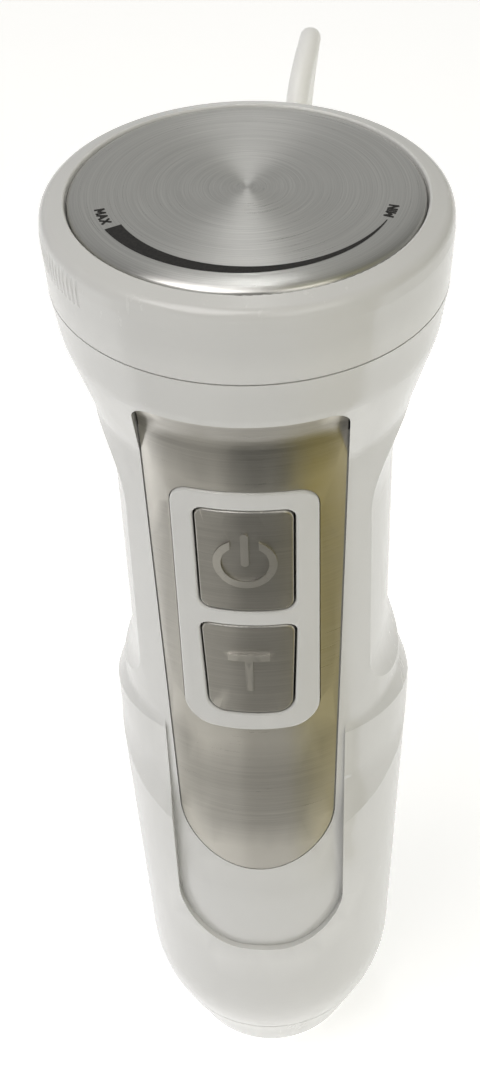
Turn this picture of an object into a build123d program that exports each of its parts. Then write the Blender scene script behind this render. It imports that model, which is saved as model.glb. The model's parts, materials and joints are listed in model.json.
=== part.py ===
from build123d import *
import math
import os

# Motor unit of a corded stick blender, without its blending leg.
# Millimetres, +Z up along the handle, origin at the centre of the bottom rim,
# buttons on the -Y side, cord leaving at the back on the +Y side.

# ---------------------------------------------------------------- driving sizes
socket_height = 13.0      # leg socket collar that shows under the housing
body_height = 191.5       # moulded housing, collar to the dial's parting line
dial_height = 13.9        # turning head ring
seam = 0.3                # shadow gap between outside pieces that move or meet
wall = 2.2                # housing wall

foot_radius = 19.15       # bottom rim
foot_slope = 0.385        # radius gained per millimetre up the foot
body_radius = 29.8        # widest part of the lower body
body_taper = 0.0294       # radius lost per millimetre down the lower body
waist_half = 25.0         # half width across the two finger scoops
scoop_radius = 47.4       # plan radius of a finger scoop
mouth_radius = 33.6       # housing at the parting line
dial_radius = 34.0

front_radius = 28.2       # control face at the top of its straight stretch
front_lean = 0.0092       # radius lost per millimetre down the control face
panel_thick = 0.6
panel_half_top = 17.4
panel_half_low = 15.3
panel_gap = 0.35
bezel_half = 12.65
bezel_proud = 0.5
bezel_round = 0.45        # rounding of its front edges
cap_half = 8.75           # half width of a button opening
cap_proud = 0.35
cap_gap = 0.35
cap_round = 0.4
button_travel = 1.5
symbol_raise = 0.4

bore_radius = 17.0        # leg socket bore
bore_length = 10.0        # plain stretch of that bore
shaft_radius = 2.5
bearing_radius = 8.0
bearing_width = 5.0
running = 0.05            # radial clearance of a running fit
core_radius = 21.5        # motor stator
core_length = 28.0
rotor_radius = 11.9
air_gap = 0.5
fan_radius = 17.5

cord_radius = 2.1
boot_length = 22.0
hank_length = 80.0
fold_radius = 12.6        # tightest fold of the hank
hank_columns = 2          # strands side by side in each of its two bundles
hank_layers = 3           # strands on top of each other

# ------------------------------------------------------------- derived stations
z_body = socket_height
z_head = z_body + body_height
z_dial = z_head + seam
z_top = z_dial + dial_height
y_far = 60.0              # any distance clear of the body


def under(drop):
    """Height of a point that lies drop below the parting line."""
    return z_head - drop


def front_at(z):
    """Radius of the control face at height z."""
    return front_radius - front_lean * (under(13.0) - z)


STAND = (Align.CENTER, Align.CENTER, Align.MIN)
HANG = (Align.CENTER, Align.CENTER, Align.MAX)


def tube(outer, inner, z0, z1):
    """Upright ring or, with inner 0, a disc."""
    with BuildPart(Plane.XY.offset(z0)) as ring:
        Cylinder(outer, z1 - z0, align=STAND)
        if inner > 0:
            Cylinder(inner, z1 - z0, align=STAND, mode=Mode.SUBTRACT)
    return ring.part


def block(x0, x1, y0, y1, z0, z1):
    """Box between two corners."""
    with BuildPart() as box:
        with Locations(((x0 + x1) / 2, (y0 + y1) / 2, (z0 + z1) / 2)):
            Box(abs(x1 - x0), abs(y1 - y0), abs(z1 - z0))
    return box.part


def rod(start, end, radius, radius_end=None, hole=0):
    """Round bar from start to end, tapered when radius_end is given, hollow when hole is."""
    axis = Vector(*end) - Vector(*start)
    with BuildPart(Plane(origin=start, z_dir=axis)) as bar:
        if radius_end is None:
            Cylinder(radius, axis.length, align=STAND)
        else:
            Cone(radius, radius_end, axis.length, align=STAND)
        if hole > 0:
            Cylinder(hole, axis.length, align=STAND, mode=Mode.SUBTRACT)
    return bar.part


def around(radius, angle, z):
    """Point on a circle about the handle axis, angle in degrees."""
    return radius * math.cos(math.radians(angle)), radius * math.sin(math.radians(angle)), z


def coil_spring(start, direction, length, radius, wire, turns):
    """Round wire compression spring."""
    with BuildPart() as spring:
        path = Helix(length / turns, length, radius, center=start, direction=direction)
        with BuildSketch(Plane(path @ 0, z_dir=path % 0)):
            Circle(wire / 2)
        sweep(path=path, is_frenet=True)
    return spring.part


def save(piece, name):
    """Label a finished piece and write it."""
    piece.label = name
    export_step(piece, f"parts/{name}.step")


os.makedirs("parts", exist_ok=True)


# ------------------------------------------------------------------ body shapes
def front_core(extra):
    """Solid inside the control face, grown by extra."""
    low, high = under(170.0), z_top + 20
    with BuildPart(Plane.XY.offset(low)) as core:
        Cone(front_at(low) + extra, front_at(high) + extra, high - low, align=STAND)
    return core.part


def scoop_keeper(inset, side):
    """Solid that keeps everything inside one finger scoop."""
    reach = waist_half - inset
    top, low = under(38.0), under(77.0)
    pivot = Axis((side * (waist_half - scoop_radius), 0, 0), (0, 0, 1))
    with BuildPart() as keeper:
        with BuildSketch(Plane.XZ):
            with BuildLine():
                high_curve = JernArc((side * reach, top), (0, 1), 40, side * -55)
                low_curve = JernArc((side * reach, low), (0, -1), 28, side * 65)
                Line(high_curve @ 0, low_curve @ 0)
                Polyline(high_curve @ 1, (side * 90, (high_curve @ 1).Y), (side * 90, z_top + 20),
                         (side * (waist_half - scoop_radius), z_top + 20),
                         (side * (waist_half - scoop_radius), -20), (side * 90, -20),
                         (side * 90, (low_curve @ 1).Y), low_curve @ 1)
            make_face()
        revolve(axis=pivot)
    return keeper.part


def front_keeper(inset):
    """Solid that lets the front rise gently from the control face into the lower body."""
    shift, clear = 2.3, 0.1
    low, mid, high = under(124.0), under(107.0), under(88.0)
    flat = front_at(mid) + shift + clear - inset
    with BuildPart() as keeper:
        with BuildSketch(Plane.XZ.offset(-shift)):
            with BuildLine():
                rise = FilletPolyline((body_radius + shift - 0.2 - inset, low), (flat, mid), (flat, high),
                                      radius=40)
                Polyline(rise @ 1, (90, high), (90, z_top + 20), (0, z_top + 20), (0, -20), (90, -20),
                         (90, low), rise @ 0)
            make_face()
        revolve(axis=Axis((0, shift, 0), (0, 0, 1)))
    return keeper.part


def recess_outline(grow, depth):
    """Rounded U round the lower end of the control panel."""
    half, low, high = 17.4 + grow, under(155.4) - grow, under(83.0)
    with BuildSketch(Plane.XZ.offset(depth)) as outline:
        with BuildLine():
            Polyline((-half, high), (-half, low), (half, low), (half, high), close=True)
        make_face()
        fillet(outline.vertices().group_by(Axis.Y)[0], 14)
    return outline.sketch


def handle_solid(inset, low, high):
    """Outside shape of the housing, moved inwards by inset."""
    top = z_head
    corner = (body_radius - body_taper * under(97.0) - foot_radius) / (foot_slope - body_taper)
    half_turn = (math.atan(foot_slope) - math.atan(body_taper)) / 2
    foot_round = min(40, 0.9 * (corner - low) / math.tan(half_turn))
    with BuildPart() as handle:
        with BuildSketch(Plane.XZ):
            with BuildLine():
                side = FilletPolyline(
                    (foot_radius + foot_slope * low - inset, low),
                    (foot_radius + foot_slope * corner - inset, corner),
                    (body_radius - inset, under(97.0)),
                    (front_at(under(90.5)) - inset, under(90.5)),
                    (front_at(under(22.7)) - inset, under(22.7)),
                    (mouth_radius - 1.2 - inset, under(8.5)),
                    (mouth_radius - inset, top),
                    radius=[foot_round, 4, 6, 8, 14],
                )
                Polyline(side @ 1, (mouth_radius - inset, max(high, top + 0.01)),
                         (0, max(high, top + 0.01)), (0, low), side @ 0)
            make_face()
        revolve(axis=Axis.Z)
        for end in (1, -1):
            add(scoop_keeper(inset, end), mode=Mode.INTERSECT)
        add(front_keeper(inset), mode=Mode.INTERSECT)
    with BuildPart() as recess:
        extrude(recess_outline(inset, 10.0), amount=y_far)
        add(front_core(-inset), mode=Mode.SUBTRACT)
    with BuildPart() as shape:
        add(handle)
        add(recess, mode=Mode.SUBTRACT)
    return shape.part


def panel_outline(grow, depth):
    """Long face plate with a round lower end."""
    high, low = under(9.5) + grow, under(112.8)
    top, bottom = panel_half_top + grow, panel_half_low + grow
    with BuildSketch(Plane.XZ.offset(depth)) as outline:
        with BuildLine():
            Polyline((-bottom, low), (-top, high), (top, high), (bottom, low))
            ThreePointArc((bottom, low), (0, low - bottom), (-bottom, low))
        make_face()
        fillet(outline.vertices().group_by(Axis.Y)[-1], 3 + grow)
    return outline.sketch


def panel_blank(inset):
    """Solid of revolution under the panel's face, with the lip that meets the head cone."""
    high, low = under(9.5), under(170.0)
    lip = 3.1
    with BuildPart() as blank:
        with BuildSketch(Plane.XZ):
            with BuildLine():
                rise = FilletPolyline(
                    (front_at(low) - inset, low),
                    (front_at(high - 5.4) - inset, high - 5.4),
                    (front_at(high) + lip - inset, high),
                    (front_at(high) + lip - inset + 2, high + 4.0),
                    radius=[7, 3],
                )
                Polyline(rise @ 1, (0, high + 4.0), (0, low), rise @ 0)
            make_face()
        revolve(axis=Axis.Z)
    return blank.part


def bezel_outline(grow, depth):
    """White frame round the two buttons."""
    high, low, half = under(26.8) + grow, under(84.6) - grow, bezel_half + grow
    with BuildSketch(Plane.XZ.offset(depth)) as outline:
        with BuildLine():
            Polyline((-half, high), (-half, low), (half, low), (half, high))
            ThreePointArc((half, high), (0, high + 0.8), (-half, high))
        make_face()
        fillet(outline.vertices().group_by(Axis.Y)[-1], 4 + grow)
        fillet(outline.vertices().group_by(Axis.Y)[0], 5.5 + grow)
    return outline.sketch


def button_outline(lower, grow, depth):
    """Opening for one button; grow is negative for the cap in it."""
    top = (under(57.1) if lower else under(30.0)) + grow
    bottom = (under(80.2) if lower else under(53.5)) - grow
    half_low = cap_half - (0.7 if lower else 0.2) + grow
    with BuildSketch(Plane.XZ.offset(depth)) as outline:
        with BuildLine():
            Polyline((-cap_half - grow, top), (-half_low, bottom), (half_low, bottom),
                     (cap_half + grow, top))
            ThreePointArc((cap_half + grow, top), (0, top + 0.3), (-cap_half - grow, top))
        make_face()
        fillet(outline.vertices().group_by(Axis.Y)[-1], 2.2 + grow)
        fillet(outline.vertices().group_by(Axis.Y)[0], (3.4 if lower else 2.2) + grow)
    return outline.sketch


# ------------------------------------------------------------------ main housing
boss_circle = mouth_radius - 6.6   # screws that hold the head plate
boss_radius = 3.3
boss_turns = (90, 210, 330)
screw_hole = 1.3
carrier_y = -18.0         # front face of the switch carrier
mount_radius = 24.4       # rubber motor mounts in the housing
mount_low = 25.0
mount_height = 5.0
motor_low = mount_low
stator_low = motor_low + 18.0
stator_high = stator_low + core_length
motor_high = stator_high + 26.0
vent_low = 33.0

boot_start = Vector(3.8, 30.6, under(28.0))
boot_axis = Vector(0.02, 0.72, 0.69).normalized()
boot_tip = boot_start + boot_axis * boot_length
collar_outer = 5.3        # cord outlet collar on the back of the housing
neck_length = 13.4        # strain relief neck through the collar and wall

with BuildPart() as cavity:
    add(handle_solid(wall, z_body - 0.01, z_head + 1))
    for floor in (mount_low - 2.0, motor_high - 2.0):
        add(tube(y_far, mount_radius + 0.1, floor, floor + mount_height + 2.0), mode=Mode.SUBTRACT)
    for angle in boss_turns:
        with Locations(around(boss_circle, angle, under(2.6))):
            Cylinder(boss_radius, 12.0, align=HANG, mode=Mode.SUBTRACT)
    for height in (under(22.0), under(89.0)):
        add(rod((0, carrier_y, height), (0, -y_far, height), 2.6), mode=Mode.SUBTRACT)

with BuildPart() as main_housing:
    add(handle_solid(0, z_body, z_head))
    add(rod(boot_start - boot_axis * 10, boot_start - boot_axis * 0.3, collar_outer))
    add(cavity, mode=Mode.SUBTRACT)
    # seat for the head plate
    add(tube(mouth_radius - 1.6, 0, under(2.6), z_head + 1), mode=Mode.SUBTRACT)
    # window for the bezel
    extrude(bezel_outline(0.3, 12.0), amount=y_far, mode=Mode.SUBTRACT)
    # screw holes for the head plate and the switch carrier
    with PolarLocations(boss_circle, len(boss_turns), start_angle=boss_turns[0]):
        with Locations((0, 0, under(8.0))):
            Cylinder(screw_hole, 14.0, mode=Mode.SUBTRACT)
    for height in (under(22.0), under(89.0)):
        add(rod((0, carrier_y + 1, height), (0, carrier_y - 5.0, height), screw_hole), mode=Mode.SUBTRACT)
    # cord outlet
    add(rod(boot_start - boot_axis * (neck_length + 4), boot_start + boot_axis, 3.3), mode=Mode.SUBTRACT)
    # air slots at the back of the fan
    for turn in range(-3, 4):
        out, along = around(1, 90 - 11.5 * turn, 0), around(1, -11.5 * turn, 0)
        with BuildSketch(Plane(origin=(0, 0, vent_low + 8), z_dir=out, x_dir=along)):
            SlotOverall(14.0, 2.2, rotation=90)
        extrude(amount=40, mode=Mode.SUBTRACT)

with BuildPart() as panel_pocket:
    extrude(panel_outline(panel_gap, 12.0), amount=y_far)
    add(panel_blank(panel_thick + 0.05), mode=Mode.SUBTRACT)
with BuildPart() as finished_housing:
    add(main_housing)
    add(panel_pocket, mode=Mode.SUBTRACT)
save(finished_housing.part, "main_housing")

# ---------------------------------------------------------------- control face
with BuildPart() as trim_panel:
    extrude(panel_outline(0, 12.0), amount=y_far)
    add(panel_blank(0), mode=Mode.INTERSECT)
    add(panel_blank(panel_thick), mode=Mode.SUBTRACT)
    extrude(bezel_outline(0.15, 12.0), amount=y_far, mode=Mode.SUBTRACT)
save(trim_panel.part, "trim_panel")

with BuildPart() as button_bezel:
    extrude(bezel_outline(0, -carrier_y), amount=y_far)
    add(front_core(bezel_proud), mode=Mode.INTERSECT)
    for lower in (False, True):
        extrude(button_outline(lower, 0, 10.0), amount=y_far, mode=Mode.SUBTRACT)
    fillet(button_bezel.faces().sort_by(Axis.Y)[0].edges(), bezel_round)
save(button_bezel.part, "button_bezel")

spring_solid = 3.9        # height of a fully pressed return spring
cap_back = -carrier_y + button_travel + spring_solid
stem_radius = 2.0
plunger_radius = 1.2
stem_end = 15.6
switch_front = 12.6
board_front = 6.0
switch_floor = board_front + 1.2
board_thick = 1.6
button_heights = (under(41.6), under(68.5))


def power_symbol(depth):
    """Broken ring with a bar, the usual standby sign."""
    with BuildSketch(Plane.XZ.offset(depth)) as symbol:
        with Locations((0, button_heights[0])):
            Circle(5.6)
            Circle(4.2, mode=Mode.SUBTRACT)
        with Locations((0, button_heights[0] + 4.5)):
            Rectangle(5.0, 5.0, mode=Mode.SUBTRACT)
        with Locations((0, button_heights[0] + 3.2)):
            SlotOverall(7.4, 1.4, rotation=90)
    return symbol.sketch


def turbo_symbol(depth):
    """Plain bar and stem."""
    with BuildSketch(Plane.XZ.offset(depth)) as symbol:
        with Locations((0, button_heights[1] + 3.6)):
            Rectangle(7.6, 1.5)
        with Locations((0, button_heights[1] - 0.6)):
            Rectangle(1.5, 8.6)
    return symbol.sketch


def button_cap(lower):
    """Cap with its raised sign and the stem that works the switch."""
    height = button_heights[1] if lower else button_heights[0]
    symbol = turbo_symbol(cap_back) if lower else power_symbol(cap_back)
    with BuildPart() as raised:
        extrude(symbol, amount=y_far)
        add(front_core(cap_proud + symbol_raise), mode=Mode.INTERSECT)
    with BuildPart() as cap:
        extrude(button_outline(lower, -cap_gap, cap_back), amount=y_far)
        add(front_core(cap_proud), mode=Mode.INTERSECT)
        fillet(cap.faces().sort_by(Axis.Y)[0].edges(), cap_round)
        add(raised)
        add(rod((0, -cap_back, height), (0, -stem_end, height), stem_radius))
    return cap.part


for lower, title in enumerate(("power", "turbo")):
    height = button_heights[lower]
    save(button_cap(bool(lower)), f"{title}_button")
    # return spring between cap and carrier
    save(coil_spring((0, carrier_y - 0.3, height), (0, -1, 0), cap_back + carrier_y - 0.6, 3.2, 0.45, 3.5),
         f"{title}_button_spring")
    # plunger that the stem pushes into the switch
    with BuildPart() as plunger:
        add(rod((0, -stem_end, height), (0, -switch_floor - button_travel - 0.3, height), plunger_radius))
        add(rod((0, -stem_end, height), (0, -stem_end + 0.6, height), 1.9))
    save(plunger.part, f"{title}_switch_plunger")
    with BuildPart() as switch:
        add(block(-4, 4, -switch_front, -board_front, height - 4, height + 4))
        add(rod((0, -switch_front - 1, height), (0, -switch_floor, height), plunger_radius + running),
            mode=Mode.SUBTRACT)
    save(switch.part, f"{title}_switch")

with BuildPart() as switch_carrier:
    carrier_back = carrier_y + 1.5
    add(block(-11, 11, carrier_y, carrier_back, under(94.0), under(17.0)))
    for height in button_heights:
        add(rod((0, carrier_y - 1, height), (0, carrier_back + 1, height), stem_radius + 0.3),
            mode=Mode.SUBTRACT)
    for height in (under(22.0), under(89.0)):
        add(rod((0, carrier_y - 1, height), (0, carrier_back + 1, height), screw_hole + 0.2),
            mode=Mode.SUBTRACT)
        for side in (-9, 9):
            add(rod((side, carrier_back, height), (side, -board_front, height), 1.8))
save(switch_carrier.part, "switch_carrier")


def screw(head_at, tip_at, shank, head_radius, head_height):
    """Pan head screw with a cross slot."""
    head_at, tip_at = Vector(*head_at), Vector(*tip_at)
    back = (head_at - tip_at).normalized()
    with BuildPart() as fastener:
        add(rod(tip_at, head_at, shank))
        add(rod(head_at, head_at + back * head_height, head_radius, head_radius * 0.8))
        with BuildSketch(Plane(origin=head_at + back * head_height, z_dir=back)):
            Rectangle(head_radius * 1.2, 0.5)
            Rectangle(0.5, head_radius * 1.2)
        extrude(amount=-head_height * 0.6, mode=Mode.SUBTRACT)
    return fastener.part


def group(pieces, name):
    """Write several separate solids as one node."""
    save(Compound(children=list(pieces)), name)


group([screw((0, carrier_back, height), (0, carrier_y - 4.0, height), screw_hole - 0.05, 2.2, 1.4)
       for height in (under(22.0), under(89.0))], "carrier_screws")

# --------------------------------------------------------------- control board
board_low, board_high = under(92.0), under(19.0)
save(block(-11, 11, -board_front, -board_front + board_thick, board_low, board_high), "control_board")
board_back = -board_front + board_thick
with BuildPart() as capacitor:
    add(block(-9, 9, board_back, board_back + 8, under(38.0), under(21.0)))
    fillet(capacitor.edges().filter_by(Axis.Y), 1.0)
save(capacitor.part, "suppression_capacitor")
terminal_mid = under(51.5)
with BuildPart() as terminal_block:
    add(block(-8, 8, board_back, board_back + 8, terminal_mid - 4.5, terminal_mid + 4.5))
    for column in (-4, 4):
        add(rod((column, board_back + 9, terminal_mid), (column, board_back + 4, terminal_mid), 1.2),
            mode=Mode.SUBTRACT)
        add(rod((column, board_back + 6, terminal_mid + 5), (column, board_back + 6, terminal_mid + 2), 1.4),
            mode=Mode.SUBTRACT)
save(terminal_block.part, "terminal_block")
save(block(-5, 5, board_back, board_back + 4.5, under(82.0), under(67.0)), "speed_triac")
with BuildPart() as heat_sink:
    sink = board_back + 4.55
    add(block(-9, 9, sink, sink + 2, under(86.0), under(62.0)))
    for fin in (-8, -4, 0, 4, 8):
        add(block(fin - 0.6, fin + 0.6, sink + 2, sink + 8, under(86.0), under(62.0)))
save(heat_sink.part, "heat_sink")

# ----------------------------------------------------------------- head and dial
plate_top = under(0.4)
plate_low = under(2.5)
collar_radius = 21.0
skirt_inner = collar_radius + running
hub_radius = 5.5
pot_shaft = 3.0
pot_flat = 1.0
web_low = z_top - 4.6
web_top = z_top - 2.6
disc_radius = 29.14
with BuildPart() as head_plate:
    add(tube(mouth_radius - 1.7, 0, plate_low, plate_top))
    add(tube(collar_radius, collar_radius - 2, plate_top, web_low - 0.6))
    add(tube(3.6, 0, plate_low - 1, plate_top + 1), mode=Mode.SUBTRACT)
    with PolarLocations(boss_circle, len(boss_turns), start_angle=boss_turns[0]):
        with Locations((0, 0, plate_low)):
            Cylinder(screw_hole + 0.2, 8.0, mode=Mode.SUBTRACT)
save(head_plate.part, "head_plate")
group([screw(around(boss_circle, angle, plate_top), around(boss_circle, angle, under(12.0)),
             screw_hole - 0.05, 2.3, 1.5) for angle in boss_turns], "head_screws")

# D shaped socket for the control shaft
with BuildPart() as shaft_socket:
    add(tube(pot_shaft + 0.03, 0, plate_top + 3.0, web_low - 0.5))
    add(block(-5, 5, pot_shaft - pot_flat + 0.03, 9, plate_top + 2, web_low + 1), mode=Mode.SUBTRACT)
with BuildPart() as dial_ring:
    with BuildSketch(Plane.XZ):
        with BuildLine():
            rim = FilletPolyline((mouth_radius, z_dial), (dial_radius, z_dial + 9.5),
                                 (dial_radius - 0.3, z_top - 1.2), (disc_radius + 0.5, z_top),
                                 (disc_radius + 0.15, z_top - 1.6), radius=[3, 2.2, 0.4])
            Polyline(rim @ 1, (disc_radius + 0.15, web_top), (0, web_top), (0, web_low),
                     (dial_radius - 2.6, web_low), (mouth_radius - 2.2, z_dial), rim @ 0)
        make_face()
    revolve(axis=Axis.Z)
    add(tube(skirt_inner + 2.0, skirt_inner, plate_top + 1.3, web_low))
    add(tube(hub_radius, 0, plate_top + 4.0, web_low))
    add(shaft_socket, mode=Mode.SUBTRACT)
    # thumb ribs
    for step in range(22):
        turn = 177.0 + 2.2 * step
        groove = (around(dial_radius + 0.35, turn, z_dial + 6.5), around(dial_radius + 0.35, turn, z_top))
        add(rod(*groove, 0.55), mode=Mode.SUBTRACT)
save(dial_ring.part, "dial_ring")

with BuildPart() as dial_disc:
    with BuildSketch(Plane.XZ):
        with BuildLine():
            dome = ThreePointArc((0, z_top + 0.8), (disc_radius / 2, z_top + 0.6),
                                 (disc_radius - 0.9, z_top - 0.1))
            edge = FilletPolyline(dome @ 1, (disc_radius, z_top - 0.4), (disc_radius, web_top), radius=0.5)
            Polyline(edge @ 1, (0, web_top), dome @ 0)
        make_face()
    revolve(axis=Axis.Z)
save(dial_disc.part, "dial_disc")

save(tube(skirt_inner + 1.9, collar_radius + 0.1, plate_top, plate_top + 1.2), "friction_ring")

with BuildPart() as potentiometer:
    add(tube(8.0, 0, plate_low - 8.0, plate_low - 0.05))
    add(tube(3.5, 0, plate_low - 0.05, plate_top + 2.4))
    add(tube(pot_shaft + running, 0, plate_low - 6.0, plate_top + 3), mode=Mode.SUBTRACT)
    add(block(-5, 5, 7, 9.5, plate_low - 7.0, plate_low - 5.5))
save(potentiometer.part, "potentiometer")
with BuildPart() as potentiometer_nut:
    with BuildSketch(Plane.XY.offset(plate_top + 0.05)):
        RegularPolygon(5.6, 6)
        Circle(3.55, mode=Mode.SUBTRACT)
    extrude(amount=1.8)
save(potentiometer_nut.part, "potentiometer_nut")
with BuildPart() as control_shaft:
    add(tube(pot_shaft, 0, plate_low - 5.9, web_low - 0.8))
    add(block(-5, 5, pot_shaft - pot_flat, 9, plate_top + 2.8, web_low + 1), mode=Mode.SUBTRACT)
save(control_shaft.part, "control_shaft")

# ------------------------------------------------------------------------ motor
screw_ring = 19.7
bracket_radius = mount_radius - 2.6
bracket_floor = 1.2       # left under each bearing


def bracket(low, high, seat_low, seat_high):
    """Motor end bracket with a bearing seat."""
    with BuildPart() as plate:
        add(tube(bracket_radius, 0, low, high))
        with PolarLocations(14.6, 6, start_angle=30):
            with Locations((0, 0, (low + high) / 2)):
                Cylinder(2.9, high - low + 2, mode=Mode.SUBTRACT)
        add(tube(bearing_radius + 2.0, 0, seat_low, seat_high))
        add(tube(bearing_radius + 0.02, 0, low + bracket_floor, seat_high + 0.01), mode=Mode.SUBTRACT)
        add(tube(shaft_radius + 1.0, 0, seat_low - 1, seat_high + 1), mode=Mode.SUBTRACT)
        for side in (-screw_ring, screw_ring):
            add(rod((side, 0, low - 1), (side, 0, high + 1), 1.2), mode=Mode.SUBTRACT)
    return plate.part


low_bracket = (mount_low, mount_low + 3.0)
high_bracket = (motor_high, motor_high + 3.0)
for title, (floor, face) in (("lower", low_bracket), ("upper", high_bracket)):
    seat = floor + bracket_floor
    save(bracket(floor, face, floor, seat + bearing_width), f"{title}_bracket")
    with BuildPart() as bearing:
        add(tube(bearing_radius, shaft_radius + running, seat, seat + bearing_width))
        for end in (seat, seat + bearing_width):
            add(tube(bearing_radius - 1.6, shaft_radius + 1.5, end - 0.4, end + 0.4), mode=Mode.SUBTRACT)
    save(bearing.part, f"{title}_bearing")
    with BuildPart() as mount:
        add(tube(mount_radius, bracket_radius + 0.05, floor, floor + mount_height))
        add(tube(mount_radius, screw_ring + 1.3, floor - 1.4, floor - 0.05))
    save(mount.part, f"{title}_mount")

with BuildPart() as stator_core:
    add(tube(core_radius, core_radius - 3.2, stator_low, stator_high))
    for side in (-1, 1):
        add(block(-6.5, 6.5, side * 10, side * (core_radius - 2), stator_low, stator_high))
        with BuildSketch(Plane.XY.offset(stator_low)):
            with BuildLine():
                Polyline((-9.5, side * 6.5), (9.5, side * 6.5), (7.8, side * 13.4), (-7.8, side * 13.4),
                         close=True)
            make_face()
        extrude(amount=core_length)
    add(tube(rotor_radius + air_gap, 0, stator_low - 1, stator_high + 1), mode=Mode.SUBTRACT)
    for side in (-screw_ring, screw_ring):
        add(rod((side, 0, stator_low - 1), (side, 0, stator_high + 1), 1.2), mode=Mode.SUBTRACT)
save(stator_core.part, "stator_core")

coils = []
for side in (-1, 1):
    with BuildPart() as coil:
        add(block(-9.2, 9.2, side * 13.5, side * 15.7, stator_low - 2.6, stator_high + 2.6))
        fillet(coil.edges().filter_by(Axis.Y), 2.0)
        add(block(-6.7, 6.7, side * 13, side * 17, stator_low - 0.3, stator_high + 0.3), mode=Mode.SUBTRACT)
    coils.append(coil.part)
group(coils, "field_coils")

shaft_low, shaft_high = socket_height + 2.0, high_bracket[0] + bracket_floor + bearing_width + 1.0
save(tube(shaft_radius, 0, shaft_low, shaft_high), "motor_shaft")
fit = shaft_radius + 0.01
with BuildPart() as rotor_core:
    add(tube(rotor_radius, fit, stator_low, stator_high))
    with PolarLocations(rotor_radius, 12):
        with Locations((0, 0, (stator_low + stator_high) / 2)):
            Box(3.4, 1.2, core_length + 2, mode=Mode.SUBTRACT)
save(rotor_core.part, "rotor_core")
group([tube(9.6, fit, stator_high + 0.05, stator_high + 5.0),
       tube(9.6, fit, stator_low - 4.6, stator_low - 0.05)], "rotor_windings")
commutator_low = stator_high + 7.0
with BuildPart() as commutator:
    add(tube(7.5, fit, commutator_low, commutator_low + 11.0))
    add(tube(8.4, fit, commutator_low - 1.2, commutator_low + 0.8))
    with PolarLocations(7.5, 24):
        with Locations((0, 0, commutator_low + 7)):
            Box(1.6, 0.35, 12, mode=Mode.SUBTRACT)
save(commutator.part, "commutator")
fan_low = low_bracket[0] + bracket_floor + bearing_width + 1.2
with BuildPart() as cooling_fan:
    add(tube(fan_radius, fit, fan_low + 4.0, fan_low + 5.2))
    add(tube(5.0, fit, fan_low, fan_low + 5.2))
    for blade in range(12):
        with BuildSketch(Plane(origin=(0, 0, fan_low), x_dir=around(1, 30 * blade, 0), z_dir=(0, 0, 1))):
            with Locations((fan_radius * 0.62, 0.8)):
                Rectangle(fan_radius * 0.7, 0.9, rotation=14)
        extrude(amount=4.05)
save(cooling_fan.part, "cooling_fan")

brush_height = commutator_low + 6.5
holders, brushes, brush_springs = [], [], []
for side in (-1, 1):
    with BuildPart() as holder:
        add(block(side * 8.6, side * 18.6, -4.0, 4.0, brush_height - 3.4, brush_height + 3.4))
        add(block(side * 8, side * 18.0, -2.6, 2.6, brush_height - 2.1, brush_height + 2.1),
            mode=Mode.SUBTRACT)
        add(block(side * 12, side * 18.6, -4.0, 4.0, brush_height + 3.3, high_bracket[0] - 0.05))
    holders.append(holder.part)
    with BuildPart() as brush:
        add(block(side * 6.5, side * 14.0, -2.5, 2.5, brush_height - 2.0, brush_height + 2.0))
        add(tube(7.5 + 0.06, 0, brush_height - 5, brush_height + 5), mode=Mode.SUBTRACT)
    brushes.append(brush.part)
    brush_springs.append(coil_spring((side * 14.3, 0, brush_height), (side, 0, 0), 3.3, 1.5, 0.35, 4))
group(holders, "brush_holders")
group(brushes, "carbon_brushes")
group(brush_springs, "brush_springs")
group([screw((side, 0, high_bracket[1]), (side, 0, low_bracket[0] + 0.5), 1.1, 1.9, 1.4)
       for side in (-screw_ring, screw_ring)], "motor_screws")

# ---------------------------------------------------------------- leg socket end
collar_reach = foot_radius + foot_slope * socket_height - wall - 0.1   # spigot inside the housing
with BuildPart() as leg_socket:
    with BuildSketch(Plane.XZ):
        with BuildLine():
            Polyline((bore_radius, 0), (foot_radius, 0),
                     (foot_radius + foot_slope * (socket_height - seam), socket_height - seam),
                     (collar_reach, socket_height - seam), (collar_reach, socket_height + 6.0),
                     (bore_radius - 1.2, socket_height + 6.0), (bore_radius - 1.2, bore_length),
                     (bore_radius, bore_length), close=True)
        make_face()
    revolve(axis=Axis.Z)
    add(tube(bore_radius - 1.0, 6.0, socket_height + 6.0 - 1.6, socket_height + 6.0))
    # bayonet ramps that hold the leg
    for turn in (30, 150, 270):
        with BuildSketch(Plane.XY.offset(bore_length)):
            with PolarLocations(bore_radius - 1.6, 1, start_angle=turn):
                Rectangle(2.6, 7.0)
        extrude(amount=2.2)
save(leg_socket.part, "leg_socket")
with BuildPart() as shaft_seal:
    add(tube(5.9, shaft_radius + 1.4, socket_height + 4.4, socket_height + 6.0))
save(shaft_seal.part, "shaft_seal")
coupling_low, coupling_high = bore_length + 0.6, socket_height + 4.0
with BuildPart() as drive_coupling:
    add(tube(6.4, 0, coupling_low, coupling_high))
    with BuildSketch(Plane.XY.offset(coupling_low)):
        RegularPolygon(4.6, 6)
    extrude(amount=2.6, mode=Mode.SUBTRACT)
    add(tube(fit, 0, shaft_low - 0.01, coupling_high + 1), mode=Mode.SUBTRACT)
save(drive_coupling.part, "drive_coupling")

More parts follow.
